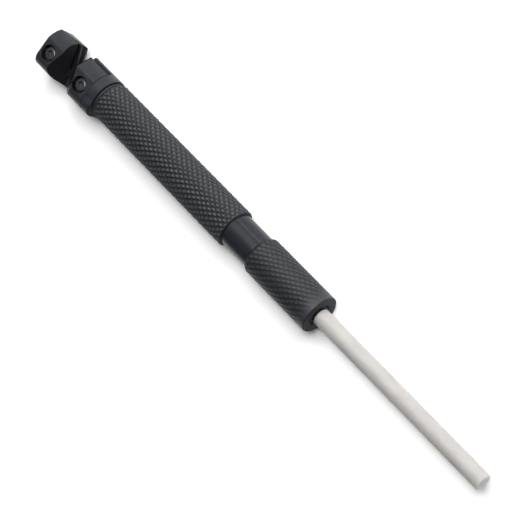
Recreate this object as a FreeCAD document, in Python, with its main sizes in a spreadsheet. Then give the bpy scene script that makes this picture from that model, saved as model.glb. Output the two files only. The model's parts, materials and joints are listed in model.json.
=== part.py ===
import FreeCAD, Part
import math
import os
import re
import Sketcher

# Pocket knife sharpener: a knurled handle with a pull-through V-notch head at one end and a
# sharpening rod held by a collet nut at the other.
#
# Frame: +X runs along the handle toward the rod tip, +Y is the side that the notch opens to and
# +Z is the face with the clamp screws. The origin is at the bottom centre of the whole tool.
# Each sub-part is drawn about the handle axis, with x counted from the head's end face.

V = FreeCAD.Vector
doc = FreeCAD.newDocument("knife_sharpener")

DIMENSIONS = {
    # whole tool
    "overall_length": 218.50,
    "grip_radius": 7.22,
    "bore_radius": 4.30,
    # head block
    "head_side": 8.30,
    "head_flat": 6.80,
    "head_corner": 4.40,
    "head_end": 30.00,
    "bevel_start": 28.00,
    "bevel_drop": 0.10,
    "spigot_radius": 5.60,
    "spigot_end": 37.20,
    "bore_start": 26.00,
    "parting_level": 1.15,
    "parting_gap": 0.08,
    "clamp_end": 25.80,
    "clamp_gap": 0.25,
    "slot_low": 0.30,
    "pocket_high": 2.00,
    "base_slot_high": 2.60,
    "base_slot_line": 5.30,
    "tip_slot_high": 2.10,
    "tip_slot_line": 5.90,
    "taper_side": 6.30,
    "taper_length": 11.50,
    "taper_lean": 0.11,
    # V notch, its flared mouths and the groove across the clamp face
    "notch_centre": 12.60,
    "notch_half_root": 0.30,
    "notch_root": -0.80,
    "notch_half_mouth": 3.58,
    "notch_mouth": 9.00,
    "throat_level": -2.20,
    "front_flare": 14.8,
    "back_flare": 31.0,
    "groove_half_floor": 0.60,
    "groove_tip_reach": 7.40,
    "groove_base_reach": 8.10,
    "groove_floor": 2.24,
    "groove_height": 8.00,
    "groove_fall": 0.40,
    # carbide blades
    "blade_thickness": 0.74,
    "blade_root": 6.20,
    "blade_low": -4.20,
    "blade_high": 6.60,
    "blade_mouth_reach": 3.10,
    "blade_tip_reach": 1.30,
    "blade_tip_low": -2.40,
    # clamp screws
    "tip_screw": 3.90,
    "base_screw": 21.45,
    "screw_side": -1.65,
    "screw_head_radius": 2.25,
    "screw_head_bottom": 4.40,
    "screw_head_top": 6.10,
    "screw_socket": 2.20,
    "screw_socket_depth": 1.30,
    "screw_shank_radius": 1.20,
    "screw_shank_end": -3.60,
    "screw_sink_radius": 3.05,
    # seal between head and handle
    "seal_radius": 6.35,
    "seal_section": 0.42,
    # handle tube
    "grip_start": 31.25,
    "grip_end": 99.40,
    "grip_chamfer": 0.50,
    # nose bush
    "neck_radius": 6.22,
    "neck_end": 112.95,
    "bush_start": 92.15,
    "stop_wall": 110.45,
    "rod_hole_radius": 3.15,
    "thread_radius": 5.45,
    "collet_seat_start": 118.45,
    "collet_seat_radius": 4.15,
    "bush_end": 127.95,
    "ring_groove": 114.95,
    "ring_groove_half": 0.60,
    "ring_groove_radius": 4.50,
    "ring_section": 0.48,
    # collet
    "collet_start": 118.75,
    "collet_tail_radius": 4.05,
    "collet_land_radius": 5.20,
    "collet_land_end": 131.45,
    "collet_cone_end": 135.45,
    "collet_nose_radius": 3.60,
    "collet_nose_end": 141.50,
    "collet_bore_radius": 3.03,
    "collet_slot": 0.60,
    "collet_slot_start": 121.95,
    # collet nut
    "nut_start": 111.85,
    "nut_end": 141.85,
    "nut_radius": 7.10,
    "nut_chamfer": 0.95,
    "nut_mouth_radius": 6.32,
    "nut_mouth_end": 113.35,
    "nut_bore_radius": 5.55,
    "nut_wall": 137.25,
    "nut_hole_radius": 3.70,
    "nut_recess_radius": 4.00,
    "nut_recess_depth": 0.40,
    "snap_start": 131.10,
    "snap_end": 131.85,
    "snap_radius": 6.00,
    "snap_inner": 5.30,
    "thrust_start": 132.05,
    "thrust_end": 137.05,
    # rod and its sliding tail
    "rod_radius": 3.00,
    "rod_start": 103.95,
    "rod_joint": 142.10,
    "shank_neck_start": 140.80,
    "shank_neck_radius": 2.60,
    "rod_chamfer": 0.25,
    "tenon_start": 134.10,
    "tenon_radius": 2.00,
    "ferrule_start": 101.45,
    "ferrule_end": 109.45,
    "ferrule_radius": 3.60,
    "flange_radius": 4.15,
    "flange_start": 108.45,
    "clip_start": 102.25,
    "clip_end": 102.85,
    "clip_radius": 4.10,
    "clip_groove_radius": 3.30,
    "guide_start": 103.00,
    "guide_end": 108.35,
    "guide_radius": 4.25,
    "guide_bore_radius": 3.65,
    # buffers
    "end_buffer_thickness": 1.00,
    "end_buffer_radius": 4.10,
    "front_buffer_start": 109.55,
    "front_buffer_end": 110.40,
    "front_buffer_bore": 3.20,
}

sheet = doc.addObject("Spreadsheet::Sheet", "Dims")
for row, (alias, value) in enumerate(DIMENSIONS.items(), start=1):
    sheet.set("A%d" % row, alias)
    sheet.set("B%d" % row, str(value))
    sheet.setAlias("B%d" % row, alias)
doc.recompute()

SUB_PARTS = []


def formula(text):
    """A formula in dimension names, written so that it reads those cells of the sheet."""
    return re.sub(r"[a-z]+(_[a-z]+)+", lambda name: "Dims." + name.group(0), str(text))


def value_of(text):
    """The present value of such a formula."""
    result = sheet.evalExpression(formula(text))
    return float(getattr(result, "Value", result))


def bind(thing, **formulas):
    """Bind an object's properties to formulas in dimension names."""
    for name, text in formulas.items():
        thing.setExpression(name, formula(text))
    return thing


def bind_position(thing, along=None, across=None, up=None):
    """Bind an object's place in the axis frame."""
    for letter, text in (("x", along), ("y", across), ("z", up)):
        if text is not None:
            thing.setExpression("Placement.Base." + letter, formula(text))
    return thing


def sub_part(thing, label, along="0", up="0"):
    """Name a finished sub-part and move it from the axis frame to the tool's frame."""
    thing.Label = label
    bind_position(thing, "%s - overall_length / 2" % along, "(head_side - grip_radius) / 2",
                  "grip_radius + " + up)
    SUB_PARTS.append(thing)
    return thing


def origin_plane(body, role):
    return next(item for item in body.Origin.OriginFeatures if item.Role == role)


def pin_point(sketch, line, end, across, up):
    """Fix one end of a sketch line at two formulas."""
    for kind, axis, text in (("DistanceX", -2, across), ("DistanceY", -1, up)):
        if str(text) == "0":
            sketch.addConstraint(Sketcher.Constraint("PointOnObject", line, end, axis))
            continue
        number = value_of(text)
        index = sketch.addConstraint(Sketcher.Constraint(kind, -1, 1, line, end, number))
        sketch.setExpression("Constraints[%d]" % index, formula(text))


def draw_outline(sketch, corners, arcs=None):
    """Draw a closed outline. arcs gives the radius of each side that is an arc, by number;
    a negative radius turns clockwise."""
    arcs = arcs or {}
    points = [V(value_of(a), value_of(b), 0) for a, b in corners]
    count = len(points)
    for side, start in enumerate(points):
        stop = points[(side + 1) % count]
        if side in arcs:
            sketch.addGeometry(arc_between(start, stop, value_of(arcs[side])), False)
        else:
            sketch.addGeometry(Part.LineSegment(start, stop), False)
    for side, (across, up) in enumerate(corners):
        first, last = arc_ends(arcs, side)
        pin_point(sketch, side, first, across, up)
        before = (side - 1) % count
        sketch.addConstraint(
            Sketcher.Constraint("Coincident", before, arc_ends(arcs, before)[1], side, first))
    for side, radius in arcs.items():
        size = Sketcher.Constraint("Radius", side, abs(value_of(radius)))
        index = sketch.addConstraint(size)
        sketch.setExpression("Constraints[%d]" % index, formula("abs(%s)" % radius))


def arc_ends(arcs, side):
    """The sketch's numbers for the first and last point of a side."""
    clockwise = side in arcs and value_of(arcs[side]) < 0
    return (2, 1) if clockwise else (1, 2)


def arc_between(start, stop, radius):
    """The short arc from start to stop; a negative radius turns clockwise."""
    middle = (start + stop) * 0.5
    half = (stop - start).Length / 2
    across = V(-(stop - start).y, (stop - start).x, 0).normalize()
    rise = math.sqrt(radius * radius - half * half)
    side = 1 if radius > 0 else -1
    centre = middle + across * (rise * side)
    crown = centre - across * (abs(radius) * side)
    return Part.Arc(start, crown, stop)


def body_sketch(body, name, role, corners, arcs=None):
    sketch = body.newObject("Sketcher::SketchObject", name)
    sketch.AttachmentSupport = [(origin_plane(body, role), "")]
    sketch.MapMode = "FlatFace"
    draw_outline(sketch, corners, arcs)
    return sketch


def turned(name, corners, label=None):
    """A body turned about the handle axis from an outline of (x, radius) corners."""
    body = doc.addObject("PartDesign::Body", name)
    sketch = body_sketch(body, name + "_profile", "XY_Plane", corners)
    turn = body.newObject("PartDesign::Revolution", name + "_turn")
    turn.Profile = sketch
    turn.ReferenceAxis = (sketch, ["H_Axis"])
    turn.Angle = 360
    sketch.Visibility = False
    if label:
        sub_part(body, label)
    return body


def padded(name, role, corners, length, arcs=None, both_ways=False, backward=False):
    """A body padded from an outline on one of its origin planes."""
    body = doc.addObject("PartDesign::Body", name)
    sketch = body_sketch(body, name + "_profile", role, corners, arcs)
    pad = body.newObject("PartDesign::Pad", name + "_pad")
    pad.Profile = sketch
    bind(pad, Length=length)
    pad.Midplane = both_ways
    pad.Reversed = backward
    return body


def solid_box(name, start, size):
    """A box between bound planes of the axis frame."""
    box = doc.addObject("Part::Box", name)
    bind(box, Length=size[0], Width=size[1], Height=size[2])
    return bind_position(box, *start)


def upright_cylinder(name, along, radius, bottom, height):
    """A cylinder across the head, along the screws' direction."""
    cylinder = doc.addObject("Part::Cylinder", name)
    bind(cylinder, Radius=radius, Height=height)
    return bind_position(cylinder, along, "screw_side", bottom)


def fused(name, pieces):
    fusion = doc.addObject("Part::MultiFuse", name)
    fusion.Shapes = pieces
    return fusion


def cut(name, base, tool):
    result = doc.addObject("Part::Cut", name)
    result.Base = base
    result.Tool = tool
    return result


# ---------------------------------------------------------------- head block

def head_blank(name, start, end, front):
    """The head's outer form between two stations: round toward the notch, square behind it,
    with one large corner radius along both rear edges."""
    body = doc.addObject("PartDesign::Body", name)
    block = padded_in(body, "block", start, end,
                      [("0", "-grip_radius"), ("0", "head_flat"),
                       ("head_corner - head_side", "head_flat"), ("-head_side", "head_flat - head_corner"),
                       ("-head_side", "head_corner - grip_radius"),
                       ("head_corner - head_side", "-grip_radius")],
                      {2: "head_corner", 4: "head_corner"})
    barrel = body.newObject("PartDesign::AdditiveCylinder", name + "_barrel")
    bind(barrel, Radius="grip_radius", Height="%s - %s" % (end, start))
    barrel.Placement = FreeCAD.Placement(V(0, 0, 0), FreeCAD.Rotation(V(0, 1, 0), 90))
    body.Tip = barrel
    if front:
        relief = body.newObject("PartDesign::SubtractiveBox", name + "_face")
        bind(relief, Length=front, Width="2 * head_side", Height="head_corner")
        relief.Placement.Base = V(0, 0, 0)
        bind_position(relief, None, "-head_side", "head_flat")
        body.Tip = relief
    bind_position(body, start)
    return body


def padded_in(body, name, start, end, corners, arcs):
    """Pad an outline of (y, z) corners along the handle axis inside a body."""
    sketch = body_sketch(body, body.Name + "_" + name, "YZ_Plane", corners, arcs)
    pad = body.newObject("PartDesign::Pad", body.Name + "_" + name + "_pad")
    pad.Profile = sketch
    bind(pad, Length="%s - %s" % (end, start))
    sketch.Visibility = False
    return pad


def throat_tool(name, flare, backward):
    """The V from its narrowest level outward, flared toward one face of the head."""
    corners = [("notch_centre - notch_half_root", "notch_root"),
               ("notch_centre + notch_half_root", "notch_root"),
               ("notch_centre + notch_half_mouth", "notch_mouth"),
               ("notch_centre - notch_half_mouth", "notch_mouth")]
    body = padded(name, "XY_Plane", corners, "grip_radius + 2", backward=backward)
    bind(body.Tip, TaperAngle=flare)
    return bind_position(body, None, None, "throat_level")


def groove_tool():
    """The wide V groove across the clamp face, which falls away below the notch."""
    corners = [("notch_centre - groove_half_floor", "groove_floor"),
               ("notch_centre + groove_half_floor", "groove_floor"),
               ("notch_centre + groove_base_reach", "groove_floor + groove_height"),
               ("notch_centre - groove_tip_reach", "groove_floor + groove_height")]
    body = padded("groove_tool", "XZ_Plane", corners, "3 * head_side", both_ways=True)
    body.Tip.UseCustomVector = True
    body.Tip.Direction = V(0, 1, DIMENSIONS["groove_fall"])
    return body


def taper_tool():
    """The slight taper of the notch's side toward the head's tip, which is more at the back."""
    corners = [("0 - taper_length", "taper_side - (grip_radius - taper_side)"),
               ("taper_length", "grip_radius"), ("taper_length", "2 * head_side"),
               ("0 - taper_length", "2 * head_side")]
    body = padded("taper_tool", "XY_Plane", corners, "4 * grip_radius", both_ways=True)
    body.Tip.UseCustomVector = True
    body.Tip.Direction = V(0, DIMENSIONS["taper_lean"], 1)
    return body


def shaping_tools():
    """The notch and the taper, which cut across the head and both clamp plates."""
    return fused("shaping_tools", [throat_tool("front_throat", "front_flare", False),
                                   throat_tool("back_throat", "back_flare", True),
                                   groove_tool(), taper_tool()])


def screw_holes(name, radius, bottom, height):
    """A pair of holes for the clamp screws."""
    return [upright_cylinder("%s_%s" % (name, place), place, radius, bottom, height)
            for place in ("tip_screw", "base_screw")]


def build_head(shaping):
    """The head block, with its spigot for the handle and the notch milled through it."""
    blank = head_blank("head_blank", "0", "head_end", "clamp_end")
    bevel = turned("head_bevel", [("bevel_start", "head_side + head_corner"),
                                  ("head_end", "grip_radius - bevel_drop"),
                                  ("head_end", "head_side + head_corner")])
    spigot = turned("head_spigot", [("head_end - 1", "0"), ("spigot_end", "0"),
                                    ("spigot_end", "spigot_radius"),
                                    ("head_end - 1", "spigot_radius")])
    solid = fused("head_solid", [cut("head_bevelled", blank, bevel), spigot])
    bore = turned("head_bore", [("bore_start", "0"), ("spigot_end + 1", "0"),
                                ("spigot_end + 1", "bore_radius"), ("bore_start", "bore_radius")])
    clamp_seat = solid_box("clamp_seat", ("-1", "-2 * head_side", "parting_level"),
                           ("clamp_end + clamp_gap + 1", "4 * head_side", "2 * head_side"))
    slot = solid_box("slot_floor", ("notch_centre", "base_slot_line", "slot_low"),
                     ("clamp_end - notch_centre", "head_side", "head_side"))
    pocket = solid_box("blade_pocket", ("blade_root - 0.05", "blade_low - 0.05", "slot_low"),
                       ("2 * (notch_centre - blade_root)", "2 * head_side", "head_side"))
    holes = screw_holes("screw_thread", "screw_shank_radius + 0.02", "screw_shank_end - 0.6",
                        "head_side")
    tools = fused("head_tools", [shaping, bore, clamp_seat, slot, pocket] + holes)
    sub_part(cut("head_cut", solid, tools), "head_body")


def build_clamp(shaping, name, start, end, relief_depth, relief_height):
    """A front plate that clamps one blade with one countersunk socket screw."""
    blank = head_blank(name + "_blank", start, end, "%s - %s" % (end, start))
    below = solid_box(name + "_below", ("-1", "-2 * head_side", "-2 * head_side"),
                      ("overall_length", "4 * head_side",
                       "2 * head_side + parting_level + parting_gap"))
    relief = solid_box(name + "_relief", ("-1", relief_depth, "0"),
                       ("clamp_end + 1", "head_side", relief_height))
    pocket = solid_box(name + "_pocket", ("blade_root - 0.05", "blade_low - 0.05", "0"),
                       ("2 * (notch_centre - blade_root) + 0.1", "2 * head_side", "pocket_high"))
    tools = [shaping, below, relief, pocket]
    tools += screw_holes(name + "_hole", "screw_shank_radius + 0.15", "0", "head_side")
    tools += screw_holes(name + "_sink", "screw_sink_radius", "screw_head_bottom", "head_side")
    sub_part(cut(name + "_cut", blank, fused(name + "_tools", tools)), name)


def build_blade(label, side, level):
    """A carbide blade: a flat plate with one slanted cutting edge that crosses the notch."""
    def across(reach):
        return "notch_centre %s (%s)" % (side, reach)
    corners = [(across("notch_centre - blade_root"), "blade_low"),
               (across("-blade_tip_reach"), "blade_low"),
               (across("-blade_tip_reach"), "blade_tip_low"),
               (across("blade_mouth_reach"), "blade_high"),
               (across("notch_centre - blade_root"), "blade_high")]
    sub_part(padded(label, "XY_Plane", corners, "blade_thickness"), label, up=level)


def build_screws():
    """Two M2.5 socket screws with domed heads, one in each clamp plate."""
    screws = []
    for place in ("tip_screw", "base_screw"):
        head = upright_cylinder(place + "_head", place, "screw_head_radius", "screw_head_bottom",
                                "screw_head_top - screw_head_bottom")
        shank = upright_cylinder(place + "_shank", place, "screw_shank_radius", "screw_shank_end",
                                 "screw_head_bottom - screw_shank_end + 0.5")
        doc.recompute()
        rounded = doc.addObject("Part::Fillet", place + "_dome")
        rounded.Base = head
        rounded.Edges = [(number, 0.60, 0.60) for number in upper_rim(head)]
        socket = doc.addObject("Part::Prism", place + "_socket")
        socket.Polygon = 6
        bind(socket, Circumradius="screw_socket / sqrt(3)", Height="head_side")
        bind_position(socket, place, "screw_side", "screw_head_top - screw_socket_depth")
        screws.append(cut(place + "_cut", fused(place + "_solid", [rounded, shank]), socket))
    pair = doc.addObject("Part::Compound", "screw_pair")
    pair.Links = screws
    sub_part(pair, "clamp_screws")


def upper_rim(thing):
    """The number of the round edge at the top of an upright cylinder."""
    top = thing.Shape.BoundBox.ZMax
    return [number for number, edge in enumerate(thing.Shape.Edges, start=1)
            if abs(edge.BoundBox.ZMin - top) < 1e-6 and abs(edge.BoundBox.ZMax - top) < 1e-6]


# ---------------------------------------------------------------- rings

def round_ring(label, station, radius, section):
    """A round-section ring on the handle axis."""
    ring = doc.addObject("Part::Torus", label)
    bind(ring, Radius1=radius, Radius2=section)
    ring.Placement.Rotation = FreeCAD.Rotation(V(0, 1, 0), 90)
    sub_part(ring, label, along=station)


def flat_ring(label, start, end, inner, outer, gap=None):
    """A flat ring or disc on the handle axis; gap opens it like a snap ring."""
    corners = [(start, inner), (end, inner), (end, outer), (start, outer)]
    ring = turned(label + "_ring", corners)
    if gap:
        opening = solid_box(label + "_gap", ("0", "0 - " + gap + " / 2", "0"),
                            ("overall_length", gap, "2 * grip_radius"))
        ring = cut(label + "_open", ring, opening)
    sub_part(ring, label)


# ---------------------------------------------------------------- handle and nose

def build_handle():
    """The knurled handle tube at its full diameter over the knurl, bored from both ends."""
    corners = [("grip_start", "spigot_radius + 0.02"),
               ("grip_start", "grip_radius - grip_chamfer"),
               ("grip_start + grip_chamfer", "grip_radius"),
               ("grip_end - grip_chamfer", "grip_radius"),
               ("grip_end", "grip_radius - grip_chamfer"),
               ("grip_end", "spigot_radius + 0.02"),
               ("bush_start - 0.2", "spigot_radius + 0.02"),
               ("bush_start - 0.2", "bore_radius"),
               ("spigot_end + 0.2", "bore_radius"),
               ("spigot_end + 0.2", "spigot_radius + 0.02")]
    turned("handle_tube", corners, "handle_tube")


def build_bush():
    """The smooth neck: a spigot in the handle, the rod's stop wall, the nut's thread and the
    collet's seat."""
    corners = [("bush_start", "bore_radius"), ("bush_start", "spigot_radius"),
               ("grip_end + 0.05", "spigot_radius"), ("grip_end + 0.05", "neck_radius"),
               ("neck_end - 0.2", "neck_radius"), ("neck_end", "neck_radius - 0.2"),
               ("neck_end", "thread_radius"),
               ("ring_groove - ring_groove_half", "thread_radius"),
               ("ring_groove - ring_groove_half", "ring_groove_radius"),
               ("ring_groove + ring_groove_half", "ring_groove_radius"),
               ("ring_groove + ring_groove_half", "thread_radius"),
               ("bush_end", "thread_radius"), ("bush_end", "collet_land_radius"),
               ("bush_end - collet_land_radius + collet_seat_radius", "collet_seat_radius"),
               ("collet_seat_start", "collet_seat_radius"),
               ("collet_seat_start", "rod_hole_radius"), ("stop_wall", "rod_hole_radius"),
               ("stop_wall", "bore_radius")]
    turned("nose_bush", corners, "nose_bush")


def build_collet():
    """A collet with a cone at each end of its land and four slots from the nose."""
    corners = [("collet_start", "collet_bore_radius"), ("collet_start", "collet_tail_radius"),
               ("bush_end - collet_land_radius + collet_seat_radius", "collet_tail_radius"),
               ("bush_end + 0.05", "collet_land_radius"),
               ("collet_land_end", "collet_land_radius"),
               ("collet_cone_end", "collet_nose_radius"),
               ("collet_nose_end - 0.4", "collet_nose_radius"),
               ("collet_nose_end", "collet_nose_radius - 0.25"),
               ("collet_nose_end", "collet_bore_radius")]
    sleeve = turned("collet_sleeve", corners)
    span = "overall_length"
    upright = solid_box("slot_upright", ("collet_slot_start", "0 - collet_slot / 2", "-grip_radius"),
                        (span, "collet_slot", "2 * grip_radius"))
    level = solid_box("slot_level", ("collet_slot_start", "-grip_radius", "0 - collet_slot / 2"),
                      (span, "2 * grip_radius", "collet_slot"))
    collet = cut("collet_cut", sleeve, fused("collet_slots", [upright, level]))
    collet.Placement.Rotation = FreeCAD.Rotation(V(1, 0, 0), 45)
    sub_part(collet, "collet")


def build_thrust_ring():
    """The loose ring in the nut whose inner cone closes the collet."""
    cone = "(collet_land_radius - collet_nose_radius) / (collet_cone_end - collet_land_end)"
    corners = [("thrust_start", "collet_land_radius + 0.06 - (thrust_start - collet_land_end) * %s"
                % cone),
               ("thrust_start", "nut_bore_radius - 0.04"), ("thrust_end", "nut_bore_radius - 0.04"),
               ("thrust_end", "nut_hole_radius"), ("collet_cone_end", "nut_hole_radius")]
    turned("thrust_ring", corners, "thrust_ring")


def build_nut():
    """The collet nut at its full diameter over the knurl, with a recess round the rod."""
    corners = [("nut_start", "nut_mouth_radius"), ("nut_start", "nut_radius - nut_chamfer + 0.3"),
               ("nut_start + nut_chamfer", "nut_radius"), ("nut_end - 0.3", "nut_radius"),
               ("nut_end", "nut_radius - 0.3"), ("nut_end", "nut_recess_radius"),
               ("nut_end - nut_recess_depth", "nut_hole_radius"), ("nut_wall", "nut_hole_radius"),
               ("nut_wall", "nut_bore_radius"), ("snap_end + 0.05", "nut_bore_radius"),
               ("snap_end + 0.05", "snap_radius + 0.02"), ("snap_start - 0.05", "snap_radius + 0.02"),
               ("snap_start - 0.05", "nut_bore_radius"), ("nut_mouth_end", "nut_bore_radius"),
               ("nut_mouth_end", "nut_mouth_radius")]
    turned("collet_nut", corners, "collet_nut")


# ---------------------------------------------------------------- rod

def build_rod():
    """The abrasive-coated rod, with a tenon at its inner end for the shank."""
    corners = [("tenon_start", "0"), ("overall_length", "0"),
               ("overall_length", "rod_radius - rod_chamfer"),
               ("overall_length - rod_chamfer", "rod_radius"),
               ("rod_joint + rod_chamfer", "rod_radius"),
               ("rod_joint", "rod_radius - rod_chamfer"), ("rod_joint", "tenon_radius"),
               ("tenon_start", "tenon_radius")]
    turned("sharpening_rod", corners, "sharpening_rod")


def build_shank():
    """The plain steel shank that slides in the handle, bored for the rod's tenon."""
    corners = [("rod_start", "0"), ("rod_start", "rod_radius"),
               ("shank_neck_start", "rod_radius"), ("shank_neck_start", "shank_neck_radius"),
               ("rod_joint", "shank_neck_radius"), ("rod_joint", "tenon_radius + 0.02"),
               ("tenon_start - 0.2", "tenon_radius + 0.02"), ("tenon_start - 0.2", "0")]
    turned("rod_shank", corners, "rod_shank")


def build_ferrule():
    """The metal cup glued on the shank's inner end, with its front flange and a clip groove."""
    corners = [("ferrule_start", "0"), ("ferrule_start", "ferrule_radius"),
               ("clip_start", "ferrule_radius"), ("clip_start", "clip_groove_radius"),
               ("clip_end", "clip_groove_radius"), ("clip_end", "ferrule_radius"),
               ("flange_start", "ferrule_radius"), ("flange_start", "flange_radius"),
               ("ferrule_end", "flange_radius"), ("ferrule_end", "rod_radius + 0.02"),
               ("rod_start - 0.1", "rod_radius + 0.02"), ("rod_start - 0.1", "0")]
    turned("rod_ferrule", corners, "rod_ferrule")


shaping = shaping_tools()
build_head(shaping)
build_clamp(shaping, "tip_clamp", "0", "notch_centre", "tip_slot_line", "tip_slot_high")
build_clamp(shaping, "base_clamp", "notch_centre", "clamp_end", "base_slot_line", "base_slot_high")
build_blade("tip_blade", "-", "slot_low + 0.04")
build_blade("base_blade", "+", "parting_level + 0.06")
build_screws()
round_ring("head_seal_ring", "(head_end + grip_start) / 2", "seal_radius", "seal_section")
build_handle()
flat_ring("end_buffer", "bore_start + 0.02", "bore_start + end_buffer_thickness", "0",
          "end_buffer_radius")
build_bush()
flat_ring("front_buffer", "front_buffer_start", "front_buffer_end", "front_buffer_bore",
          "flange_radius")
round_ring("nut_friction_ring", "ring_groove", "ring_groove_radius + ring_section + 0.02",
           "ring_section")
build_collet()
build_thrust_ring()
build_nut()
flat_ring("nut_snap_ring", "snap_start", "snap_end", "snap_inner", "snap_radius", "1.6")
build_rod()
build_shank()
build_ferrule()
flat_ring("ferrule_clip", "clip_start + 0.03", "clip_end - 0.03", "clip_groove_radius + 0.03",
          "clip_radius", "1.2")
flat_ring("rod_guide", "guide_start", "guide_end", "guide_bore_radius", "guide_radius")

doc.recompute()

failed = [item.Name for item in doc.Objects if {"Invalid", "Error"} & set(item.State)]
if failed:
    raise RuntimeError("failed objects: " + ", ".join(failed))
for item in SUB_PARTS:
    shape = item.Shape
    if shape.isNull() or not shape.isValid() or not shape.Solids:
        raise RuntimeError("bad shape: " + item.Label)

os.makedirs("parts", exist_ok=True)
for item in SUB_PARTS:
    item.Shape.exportStep("parts/%s.step" % item.Label)
    box = item.Shape.optimalBoundingBox()
    print("%-18s solids %d volume %9.2f  x %.2f..%.2f  y %.2f..%.2f  z %.2f..%.2f"
          % (item.Label, len(item.Shape.Solids), item.Shape.Volume,
             box.XMin, box.XMax, box.YMin, box.YMax, box.ZMin, box.ZMax))
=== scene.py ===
import json
import math

import bpy
from mathutils import Matrix, Vector


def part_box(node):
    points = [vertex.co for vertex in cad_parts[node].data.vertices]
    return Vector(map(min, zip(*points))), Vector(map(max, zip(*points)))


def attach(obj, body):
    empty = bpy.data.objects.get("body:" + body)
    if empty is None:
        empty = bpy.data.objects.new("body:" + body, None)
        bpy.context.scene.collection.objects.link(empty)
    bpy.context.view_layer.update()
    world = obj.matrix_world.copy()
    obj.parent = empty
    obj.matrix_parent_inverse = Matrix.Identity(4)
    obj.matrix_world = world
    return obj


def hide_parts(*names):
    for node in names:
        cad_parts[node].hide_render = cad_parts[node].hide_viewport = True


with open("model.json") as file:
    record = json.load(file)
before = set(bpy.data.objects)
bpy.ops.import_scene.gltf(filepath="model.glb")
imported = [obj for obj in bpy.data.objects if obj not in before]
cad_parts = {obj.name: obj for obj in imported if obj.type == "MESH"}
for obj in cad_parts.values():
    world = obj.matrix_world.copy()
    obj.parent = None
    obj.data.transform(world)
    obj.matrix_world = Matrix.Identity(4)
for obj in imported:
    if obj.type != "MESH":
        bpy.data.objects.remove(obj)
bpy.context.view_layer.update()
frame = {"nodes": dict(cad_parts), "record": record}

# Looks for a pocket knife sharpener: knurled black handle, V-notch head, collet nut and pale rod.
# All lengths are metres in the part's own frame: +X toward the rod's tip, +Y the notch's side,
# +Z the face with the clamp screws, and Z = 0 the surface that the tool lies on.

MM = 0.001

HANDLE_LOW, HANDLE_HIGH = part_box("handle_tube")
NUT_LOW, NUT_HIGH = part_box("collet_nut")
BUSH_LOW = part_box("nose_bush")[0]
HEAD_LOW, HEAD_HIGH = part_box("head_body")

# The handle axis runs along X through this point.
AXIS_Y = (HANDLE_LOW.y + HANDLE_HIGH.y) / 2
AXIS_Z = (HANDLE_LOW.z + HANDLE_HIGH.z) / 2


# ------------------------------------------------------------------ shader building

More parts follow.
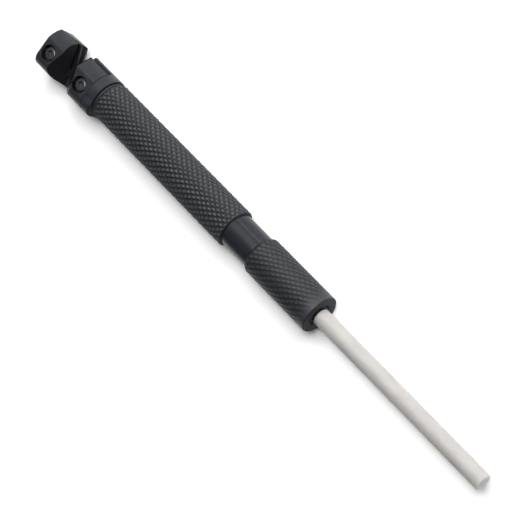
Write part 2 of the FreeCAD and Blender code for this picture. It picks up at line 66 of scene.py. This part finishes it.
class Look:
    """A material under construction: one Principled shader and the nodes that feed it."""

    def __init__(self, name):
        self.material = bpy.data.materials.new(name)
        self.material.use_nodes = True
        self.tree = self.material.node_tree
        self.shader = self.tree.nodes["Principled BSDF"]
        self.place = self.node("ShaderNodeTexCoord").outputs["Object"]

    def node(self, kind, **settings):
        made = self.tree.nodes.new(kind)
        for key, value in settings.items():
            setattr(made, key, value)
        return made

    def feed(self, source, socket):
        """Link a socket, or set a plain value."""
        if isinstance(source, bpy.types.NodeSocket):
            self.tree.links.new(source, socket)
        else:
            socket.default_value = source

    def plain(self, **values):
        """Set sockets that are the same all over the surface."""
        for key, value in values.items():
            self.shader.inputs[key.replace("_", " ")].default_value = value
        return self

    def maths(self, operation, first, second=0.0, third=0.0, clamp=False):
        made = self.node("ShaderNodeMath", operation=operation, use_clamp=clamp)
        for index, source in enumerate((first, second, third)):
            self.feed(source, made.inputs[index])
        return made.outputs[0]

    def stretched(self, along, across, up):
        """Object coordinates in millimetres, squeezed along each axis."""
        scale = self.node("ShaderNodeVectorMath", operation="MULTIPLY")
        self.feed(self.place, scale.inputs[0])
        scale.inputs[1].default_value = (along / MM, across / MM, up / MM)
        return scale.outputs[0]

    def noise(self, per_mm, detail=3.0, roughness=0.55, squeeze=(1, 1, 1)):
        """Soft noise with about this many blobs to a millimetre."""
        made = self.node("ShaderNodeTexNoise")
        self.feed(self.stretched(*squeeze), made.inputs["Vector"])
        made.inputs["Scale"].default_value = per_mm
        made.inputs["Detail"].default_value = detail
        made.inputs["Roughness"].default_value = roughness
        return made.outputs["Fac"]

    def cells(self, per_mm, randomness=1.0):
        """The distance to the nearest grain."""
        made = self.node("ShaderNodeTexVoronoi")
        self.feed(self.stretched(1, 1, 1), made.inputs["Vector"])
        made.inputs["Scale"].default_value = per_mm
        made.inputs["Randomness"].default_value = randomness
        return made.outputs["Distance"]

    def spread(self, source, low, high, to_low=0.0, to_high=1.0):
        made = self.node("ShaderNodeMapRange")
        self.feed(source, made.inputs["Value"])
        for key, value in (("From Min", low), ("From Max", high),
                           ("To Min", to_low), ("To Max", to_high)):
            made.inputs[key].default_value = value
        return made.outputs["Result"]

    def ramp(self, source, *stops):
        made = self.node("ShaderNodeValToRGB")
        self.feed(source, made.inputs["Fac"])
        elements = made.color_ramp.elements
        while len(elements) < len(stops):
            elements.new(1.0)
        for element, (position, colour) in zip(elements, stops):
            element.position = position
            element.color = (*colour, 1.0)
        return made.outputs["Color"]

    def blend(self, share, first, second, mode="MIX"):
        made = self.node("ShaderNodeMix", data_type="RGBA", blend_type=mode)
        self.feed(share, made.inputs["Factor"])
        for source, key in ((first, "A"), (second, "B")):
            plain = not isinstance(source, bpy.types.NodeSocket)
            self.feed((*source, 1.0) if plain else source, made.inputs[key])
        return made.outputs["Result"]

    def radius(self):
        """The distance from the handle axis, in millimetres."""
        parts = self.node("ShaderNodeSeparateXYZ")
        self.feed(self.place, parts.inputs[0])
        across = self.maths("SUBTRACT", parts.outputs["Y"], AXIS_Y)
        up = self.maths("SUBTRACT", parts.outputs["Z"], AXIS_Z)
        squares = self.maths("ADD", self.maths("MULTIPLY", across, across),
                             self.maths("MULTIPLY", up, up))
        return self.maths("DIVIDE", self.maths("SQRT", squares), MM)

    def bump(self, height, depth_mm, strength=1.0, under=None):
        made = self.node("ShaderNodeBump")
        made.inputs["Strength"].default_value = strength
        made.inputs["Distance"].default_value = depth_mm * MM
        self.feed(height, made.inputs["Height"])
        if under is not None:
            self.feed(under, made.inputs["Normal"])
        return made.outputs["Normal"]

    def finish(self, colour=None, roughness=None, normal=None):
        for source, key in ((colour, "Base Color"), (roughness, "Roughness"), (normal, "Normal")):
            if source is not None:
                self.feed(source, self.shader.inputs[key])
        return self.material


# ------------------------------------------------------------------ materials

def slanted(look, low, high):
    """1 on faces that lean along X, as those of the notch do, and 0 on the plain outside."""
    parts = look.node("ShaderNodeSeparateXYZ")
    look.feed(look.node("ShaderNodeNewGeometry").outputs["True Normal"], parts.inputs[0])
    lean = look.maths("ABSOLUTE", parts.outputs["X"])
    soft = 0.05
    return look.maths("MULTIPLY", look.spread(lean, low, low + soft),
                      look.spread(lean, high + soft, high))


def anodised(name, light, dark, roughness, grain_mm=0.10, cut=None):
    """Bead-blasted black anodised aluminium: a fine even grain and faint cloudy toning.
    cut, when given, is a darker black that is drawn on the faces which lean along X."""
    look = Look(name).plain(Metallic=0.0, IOR=1.45, Specular_IOR_Level=0.30)
    cloud = look.noise(0.35, 4)
    grain = look.noise(1 / grain_mm, 2, 0.6)
    tone = look.spread(cloud, 0.3, 0.7)
    colour = look.blend(tone, dark, light)
    colour = look.blend(look.spread(grain, 0.35, 0.75, 0.0, 0.35), colour, light)
    if cut is not None:
        leaning = slanted(look, 0.25, 0.95)
        # Faces that lean along X are drawn in the darker cut colour, with a weaker reflection.
        colour = look.blend(leaning, colour, cut)
        look.feed(look.spread(leaning, 0.0, 1.0, 0.30, 0.12), look.shader.inputs["Specular IOR Level"])
    rough = look.spread(grain, 0.2, 0.8, roughness - 0.06, roughness + 0.08)
    return look.finish(colour, rough, look.bump(grain, 0.010, 0.35))


def knurled(name, shaded_valley, flank, crest, crest_radius, depth_mm, roughness):
    """Black anodised knurling: valleys painted darker as painted shade, and crests that handling has
    polished.
    """
    look = Look(name).plain(Metallic=0.0, IOR=1.5, Specular_IOR_Level=0.26)
    radius = look.radius()
    height = look.spread(radius, crest_radius - depth_mm, crest_radius)
    patch = look.noise(1.1, 3)
    grain = look.noise(9, 3, 0.65)
    # The ramp paints the valleys darker than the flanks, which is painted shade in the grooves. The
    # lighter crests are wear.
    colour = look.ramp(height, (0.0, shaded_valley), (0.55, flank), (1.0, crest))
    colour = look.blend(look.spread(patch, 0.35, 0.7, 0.0, 0.45), colour, flank)
    speck = look.noise(3.2, 2, 0.7)
    colour = look.blend(look.spread(speck, 0.50, 0.66, 0.0, 0.7), colour, shaded_valley)
    worn = look.maths("MULTIPLY", look.spread(height, 0.75, 1.0), look.spread(grain, 0.45, 0.75))
    colour = look.blend(worn, colour, tuple(2.2 * part for part in crest))
    rough = look.spread(height, 0.0, 1.0, roughness + 0.15, roughness - 0.05)
    rough = look.maths("ADD", rough, look.spread(grain, 0.2, 0.8, -0.05, 0.05))
    return look.finish(colour, rough, look.bump(grain, 0.02, 0.5))


def turned_metal(name, base, roughness, metallic=1.0, line_mm=0.06):
    """Turned metal: fine tool lines round the axis over a faint mottle."""
    look = Look(name).plain(Metallic=metallic, IOR=1.5)
    lines = look.noise(1 / line_mm, 2, 0.5, squeeze=(1, 0.03, 0.03))
    mottle = look.noise(0.8, 4)
    darker = tuple(0.72 * part for part in base)
    colour = look.blend(look.spread(mottle, 0.3, 0.7), darker, base)
    rough = look.spread(lines, 0.25, 0.75, roughness - 0.07, roughness + 0.09)
    return look.finish(colour, rough, look.bump(lines, 0.006, 0.4))


def ground_carbide():
    """Ground tungsten carbide: straight grinding lines across the plate."""
    look = Look("carbide").plain(Metallic=1.0)
    lines = look.noise(12, 3, 0.6, squeeze=(0.08, 1, 1))
    speck = look.noise(5, 3)
    colour = look.blend(look.spread(speck, 0.3, 0.7), (0.030, 0.028, 0.027), (0.060, 0.056, 0.053))
    rough = look.spread(lines, 0.25, 0.75, 0.26, 0.46)
    return look.finish(colour, rough, look.bump(lines, 0.008, 0.5))


def abrasive(name):
    """The rod's fine pale grit: a warm light grey, a little translucent, with darker pits and
    lighter grains."""
    look = Look(name).plain(Metallic=0.0, IOR=1.5, Subsurface_Weight=0.8, Subsurface_Scale=0.006,
                            Subsurface_Radius=(1.0, 0.95, 0.9))
    grit = look.cells(5.5)
    fine = look.noise(7.0, 3, 0.7)
    cloud = look.noise(0.30, 4, squeeze=(0.5, 1, 1))
    colour = look.ramp(look.spread(cloud, 0.3, 0.7), (0.0, (0.345, 0.32, 0.315)),
                       (0.5, (0.36, 0.35, 0.345)), (1.0, (0.39, 0.385, 0.335)))
    colour = look.blend(look.spread(fine, 0.50, 0.70, 0.0, 0.60), colour, (0.22, 0.21, 0.205))
    colour = look.blend(look.spread(fine, 0.28, 0.42, 0.5, 0.0), colour, (0.50, 0.49, 0.46))
    rough = look.spread(fine, 0.3, 0.7, 0.50, 0.68)
    pits = look.bump(grit, 0.02, 0.5)
    return look.finish(colour, rough, look.bump(fine, 0.02, 0.4, under=pits))


def rubber():
    look = Look("rubber").plain(Metallic=0.0, IOR=1.5)
    bloom = look.noise(3, 4)
    colour = look.blend(look.spread(bloom, 0.4, 0.8), (0.009, 0.009, 0.009), (0.022, 0.022, 0.023))
    rough = look.spread(bloom, 0.3, 0.7, 0.55, 0.72)
    return look.finish(colour, rough, look.bump(look.noise(12, 2), 0.01, 0.4))


def acetal():
    look = Look("white_acetal").plain(Metallic=0.0, IOR=1.48)
    waxy = look.noise(1.5, 3)
    colour = look.blend(look.spread(waxy, 0.3, 0.7), (0.66, 0.66, 0.63), (0.76, 0.76, 0.74))
    rough = look.spread(waxy, 0.3, 0.7, 0.38, 0.5)
    return look.finish(colour, rough, look.bump(look.noise(10, 2), 0.006, 0.3))


CREST = (HANDLE_HIGH.z - AXIS_Z) / MM
NUT_CREST = (NUT_HIGH.z - AXIS_Z) / MM
KNURL_DEPTH = 0.33          # millimetres, like the crests
NUT_KNURL_DEPTH = 0.17

LOOKS = {
    "black_anodised": anodised("black_anodised", (0.024, 0.026, 0.031), (0.015, 0.016, 0.020), 0.42,
                               cut=(0.006, 0.006, 0.007)),
    "satin_neck": anodised("satin_neck", (0.016, 0.017, 0.022), (0.011, 0.012, 0.016), 0.30),
    "knurled_grip": knurled("knurled_grip", (0.006, 0.007, 0.008), (0.018, 0.020, 0.023),
                            (0.050, 0.052, 0.058), CREST, KNURL_DEPTH, 0.44),
    "knurled_nut": knurled("knurled_nut", (0.007, 0.008, 0.009), (0.013, 0.014, 0.016),
                           (0.028, 0.030, 0.034), NUT_CREST, NUT_KNURL_DEPTH, 0.48),
    "carbide": ground_carbide(),
    "black_oxide_steel": turned_metal("black_oxide_steel", (0.085, 0.085, 0.092), 0.26, 0.60),
    "black_rubber": rubber(),
    # collet_steel is painted near black: painted shade where the collet's nose and slots sit in the
    # nut's hole round the rod.
    "collet_steel": turned_metal("collet_steel", (0.015, 0.0135, 0.013), 0.40, 0.30),
    "spring_steel": turned_metal("spring_steel", (0.30, 0.30, 0.31), 0.34),
    "bright_steel": turned_metal("bright_steel", (0.56, 0.56, 0.57), 0.30),
    "abrasive_rod": abrasive("abrasive_rod"),
    "white_acetal": acetal(),
}


def dress(piece, slot):
    """Give a piece one material for its whole surface."""
    piece.data.materials.clear()
    piece.data.materials.append(LOOKS[slot])
    return piece


for subpart in frame["record"]["subparts"]:
    dress(frame["nodes"][subpart["node"]], subpart["material_slot"])


# ------------------------------------------------------------------ knurled pieces

STARTS = 23             # grooves of each hand round the knurl
STEPS = 12              # mesh steps from one groove to the next
PITCH = 2.81 * MM       # the distance between grooves along the axis
CROSS, NUT_CROSS = 0.78, 0.38   # depth of the second hand's grooves, against the first's
FLAT, NUT_FLAT = 0.22, 0.28     # share of the pitch that is a plain crest
END_GAP = 0.2 * MM      # between the handle's socket floors and the pieces in them


def triangle_wave(phase):
    """0 at a whole number of turns, 1 halfway between."""
    return 1.0 - abs(2.0 * (phase % 1.0) - 1.0)


def groove(phase, flat):
    """How deep a V groove is at this phase: 1 at its root, 0 on the flat between two."""
    return max(0.0, 1.0 - triangle_wave(phase) / (1.0 - flat))


def ring_of(count, x, radius):
    """A ring of points about the handle axis; radius is a number or a function of the index."""
    points = []
    for index in range(count):
        turn = 2 * math.pi * index / count
        size = radius(index) if callable(radius) else radius
        points.append((x, AXIS_Y + size * math.cos(turn), AXIS_Z + size * math.sin(turn)))
    return points


def closed_tube(name, rings, knurl_rows):
    """A closed ring-shaped solid from rings that go along the outside and back through the bore.
    Quads in the knurl split along the grooves that cross them."""
    count = len(rings[0])
    vertices = [point for ring in rings for point in ring]
    faces = []
    for row in range(len(rings)):
        following = (row + 1) % len(rings)
        for index in range(count):
            beside = (index + 1) % count
            near, far = row * count + index, following * count + index
            near_next, far_next = row * count + beside, following * count + beside
            if row not in knurl_rows:
                faces.append((near, near_next, far_next, far))
            elif (row - knurl_rows.start + index) % 2:
                faces += [(near, near_next, far), (near_next, far_next, far)]
            else:
                faces += [(near, near_next, far_next), (near, far_next, far)]
    mesh = bpy.data.meshes.new(name)
    mesh.from_pydata(vertices, [], faces)
    mesh.validate()
    mesh.update()
    piece = bpy.data.objects.new(name, mesh)
    bpy.context.scene.collection.objects.link(piece)
    return piece


def knurled_tube(name, low_x, high_x, crest, outline, bore, depths, flat, fade):
    """A knurled tube. outline limits the radius near the ends, bore lists (x, radius) corners of
    the inside from the far end back, and depths are those of the two groove families."""
    count = STARTS * STEPS
    rows = round((high_x - low_x) / (PITCH / STEPS))
    step = (high_x - low_x) / rows
    rings = []
    for row in range(rows + 1):
        x = low_x + row * step
        share = fade(x)

        def radius(index, row=row, x=x, share=share):
            first = groove((index + row) / STEPS, flat)
            second = groove((index - row) / STEPS, flat)
            cut = max(depths[0] * first, depths[1] * second)
            return min(crest - share * cut, outline(x))

        rings.append(ring_of(count, x, radius))
    rings += [ring_of(count, x, radius) for x, radius in bore]
    return closed_tube(name, rings, range(0, rows))


def build_handle():
    """The handle tube. Its diamond knurl runs to both chamfered ends, one hand of groove deeper."""
    low, high = HANDLE_LOW.x, HANDLE_HIGH.x
    crest = HANDLE_HIGH.z - AXIS_Z
    chamfer = 0.5 * MM
    socket = 5.62 * MM
    bore_radius = 4.3 * MM
    socket_floor = BUSH_LOW.x - END_GAP
    head_socket_floor = HEAD_HIGH.x + END_GAP

    def outline(x):
        return crest - chamfer + min(chamfer, x - low, high - x)

    bore = [(high, socket), (socket_floor, socket), (socket_floor, bore_radius),
            (head_socket_floor, bore_radius), (head_socket_floor, socket), (low, socket)]
    piece = knurled_tube("knurled_handle", low, high, crest, outline, bore,
                         (KNURL_DEPTH * MM, CROSS * KNURL_DEPTH * MM), FLAT, lambda x: 1.0)
    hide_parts("handle_tube")
    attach(piece, "root")
    return dress(piece, "knurled_grip")


def build_nut():
    """The collet nut: a shallow knurl with one hand of groove deeper, smooth at the rod's end."""
    low, high = NUT_LOW.x, NUT_HIGH.x
    crest = NUT_HIGH.z - AXIS_Z
    lead, edge = 0.95 * MM, 0.3 * MM
    mouth_drop = 0.65 * MM
    plain_band, run_out = 1.2 * MM, 4.5 * MM

    def outline(x):
        start = crest - mouth_drop * (1 - min(1.0, (x - low) / lead))
        return min(start, crest - edge + min(edge, high - x))

    def fade(x):
        return min(1.0, max(0.0, (high - plain_band - x) / run_out))

    hole, recess, thread, ring_groove, mouth = 3.7 * MM, 4.0 * MM, 5.55 * MM, 6.02 * MM, 6.32 * MM
    recess_floor, wall_back = high - 0.4 * MM, high - 4.6 * MM
    groove_end, groove_start = high - 9.95 * MM, high - 10.8 * MM
    mouth_floor = low + 1.5 * MM
    bore = [(high, recess), (recess_floor, hole), (wall_back, hole), (wall_back, thread),
            (groove_end, thread), (groove_end, ring_groove), (groove_start, ring_groove),
            (groove_start, thread), (mouth_floor, thread), (mouth_floor, mouth), (low, mouth)]
    piece = knurled_tube("knurled_nut", low, high, crest, outline, bore,
                         (NUT_KNURL_DEPTH * MM, NUT_CROSS * NUT_KNURL_DEPTH * MM), NUT_FLAT, fade)
    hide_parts("collet_nut")
    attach(piece, "nut")
    return dress(piece, "knurled_nut")


build_handle()
build_nut()


# ------------------------------------------------------------------ floor, light and camera

# The camera looks at the tool with the rod's end tilted toward it (LEAN) and turned about the
# handle axis (ROLL) so that the notch's side shows. The handle lies at SLANT across the picture.
LEAN = math.radians(25.0)
ROLL = math.radians(18.0)
SLANT = math.radians(45.70)
ALONG = Vector((1, 0, 0))
SIDE = Vector((0, math.cos(ROLL), -math.sin(ROLL)))
FACING = Vector((0, math.sin(ROLL), math.cos(ROLL)))
TO_TIP = ALONG * math.cos(LEAN) - FACING * math.sin(LEAN)
TO_CAMERA = ALONG * math.sin(LEAN) + FACING * math.cos(LEAN)
RIGHT = TO_TIP * math.cos(SLANT) + SIDE * math.sin(SLANT)
UP = SIDE * math.cos(SLANT) - TO_TIP * math.sin(SLANT)
AIM_FROM_HEAD, AIM_DROP = 114.55 * MM, 1.29 * MM
AIM = Vector((HEAD_LOW.x + AIM_FROM_HEAD, AXIS_Y, AXIS_Z)) - SIDE * AIM_DROP
CAMERA_DISTANCE = 660 * MM
LENS_MM = 140.0


def build_floor():
    """A wide pale floor under the tool."""
    mesh = bpy.data.meshes.new("floor")
    reach = 3.0
    mesh.from_pydata([(-reach, -reach, 0), (reach, -reach, 0), (reach, reach, 0), (-reach, reach, 0)],
                     [], [(0, 1, 2, 3)])
    floor = bpy.data.objects.new("floor", mesh)
    bpy.context.scene.collection.objects.link(floor)
    floor.location.z = -0.02 * MM
    look = Look("pale_floor").plain(Metallic=0.0, IOR=1.3)
    faint = look.noise(0.01, 2)
    colour = look.blend(look.spread(faint, 0.3, 0.7), (0.86, 0.86, 0.865), (0.88, 0.88, 0.885))
    look.plain(Roughness=0.9)
    mesh.materials.append(look.finish(colour))


def area_light(name, place, target, size, power, colour=(1, 1, 1)):
    """A soft light that faces the target. The first size is the one along the handle."""
    lamp = bpy.data.lights.new(name, "AREA")
    lamp.shape = "RECTANGLE"
    lamp.size, lamp.size_y = size
    lamp.energy = power
    lamp.color = colour
    light = bpy.data.objects.new(name, lamp)
    bpy.context.scene.collection.objects.link(light)
    light.location = place
    away = (place - target).normalized()
    width = (ALONG - away * ALONG.dot(away)).normalized()
    light.rotation_mode = "QUATERNION"
    light.rotation_quaternion = Matrix((width, away.cross(width), away)).transposed().to_quaternion()
    return light


def build_world():
    """A dim cool surround that is lighter on the notch's side than on the other."""
    world = bpy.data.worlds.new("surround")
    bpy.context.scene.world = world
    world.use_nodes = True
    nodes, links = world.node_tree.nodes, world.node_tree.links
    parts = nodes.new("ShaderNodeSeparateXYZ")
    links.new(nodes.new("ShaderNodeTexCoord").outputs["Generated"], parts.inputs[0])
    side = nodes.new("ShaderNodeMapRange")
    links.new(parts.outputs["Y"], side.inputs["Value"])
    for key, value in (("From Min", -0.5), ("From Max", 0.7), ("To Min", 0.02), ("To Max", 0.40)):
        side.inputs[key].default_value = value
    shade = nodes["Background"]
    shade.inputs["Color"].default_value = (0.95, 0.955, 1.0, 1.0)
    links.new(side.outputs["Result"], shade.inputs["Strength"])


def build_lights():
    """A large soft key high on the notch's side, a low rim light beside it, and a strip overhead
    that draws the soft line along the neck."""
    build_world()
    middle = Vector((0, 0, 0))
    area_light("key", Vector((0.05, 0.46, 0.88)), middle, (0.85, 0.72), 14.5, (1.0, 0.995, 0.985))
    area_light("rim", Vector((-0.1, 0.95, 0.34)), middle, (0.9, 0.22), 3.0, (0.94, 0.97, 1.0))
    area_light("strip", FACING * 0.95 + ALONG * 0.25 + SIDE * 0.04, middle, (0.9, 0.10), 2.0)


def build_camera():
    camera = bpy.data.cameras.new("camera")
    camera.lens = LENS_MM
    camera.sensor_width = 36.0
    camera.clip_start, camera.clip_end = 0.01, 20.0
    holder = bpy.data.objects.new("camera", camera)
    bpy.context.scene.collection.objects.link(holder)
    turn = Matrix((RIGHT, UP, TO_CAMERA)).transposed().to_4x4()
    holder.matrix_world = Matrix.Translation(AIM + TO_CAMERA * CAMERA_DISTANCE) @ turn
    bpy.context.scene.camera = holder


bpy.context.scene.view_settings.view_transform = "Standard"
build_floor()
build_lights()
build_camera()
